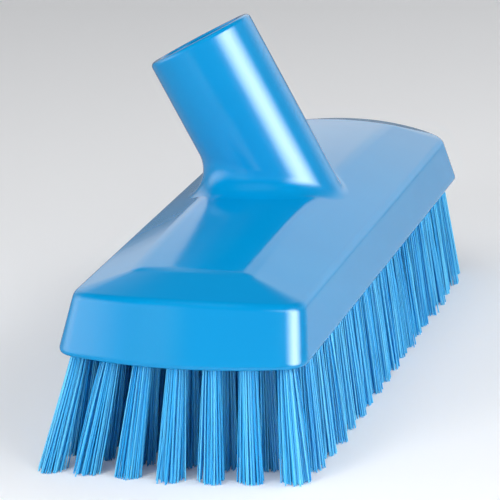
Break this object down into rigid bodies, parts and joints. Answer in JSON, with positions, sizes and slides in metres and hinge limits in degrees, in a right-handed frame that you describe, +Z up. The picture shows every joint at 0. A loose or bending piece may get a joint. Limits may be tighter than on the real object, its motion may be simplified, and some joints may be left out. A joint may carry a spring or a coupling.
{
  "type": "water-fed scrub brush",
  "caption": "Long moulded scrub brush head with rounded ends, a tilted hollow handle socket that feeds water through the block, and rows of stiff bristle tufts.",
  "frame": {"origin": "on the floor under the middle of the block, where the bristle tips rest", "axes": "+Z up out of the block's top, +Y along the brush, X across it; the handle socket leans towards -X"},
  "size_m": [0.0984, 0.2713, 0.1348],
  "materials": {
    "blue_plastic": "glossy injection-moulded polypropylene",
    "blue_bristle": "satin polyester filament",
    "black_rubber": "matte"
  },
  "bodies": {
    "root": {"scrub_block": "blue_plastic", "socket_washer": "black_rubber", "tuft_row_01": "blue_bristle", "tuft_row_02": "blue_bristle", "tuft_row_03": "blue_bristle", "tuft_row_04": "blue_bristle", "tuft_row_05": "blue_bristle", "tuft_row_06": "blue_bristle", "tuft_row_07": "blue_bristle", "tuft_row_08": "blue_bristle", "tuft_row_09": "blue_bristle", "tuft_row_10_left": "blue_bristle", "tuft_row_10_right": "blue_bristle", "tuft_row_11": "blue_bristle", "tuft_row_12": "blue_bristle", "tuft_row_13": "blue_bristle", "tuft_row_14": "blue_bristle", "tuft_row_15": "blue_bristle", "tuft_row_16": "blue_bristle", "tuft_row_17": "blue_bristle", "tuft_row_18": "blue_bristle", "tuft_row_19": "blue_bristle"}
  },
  "joints": []
}
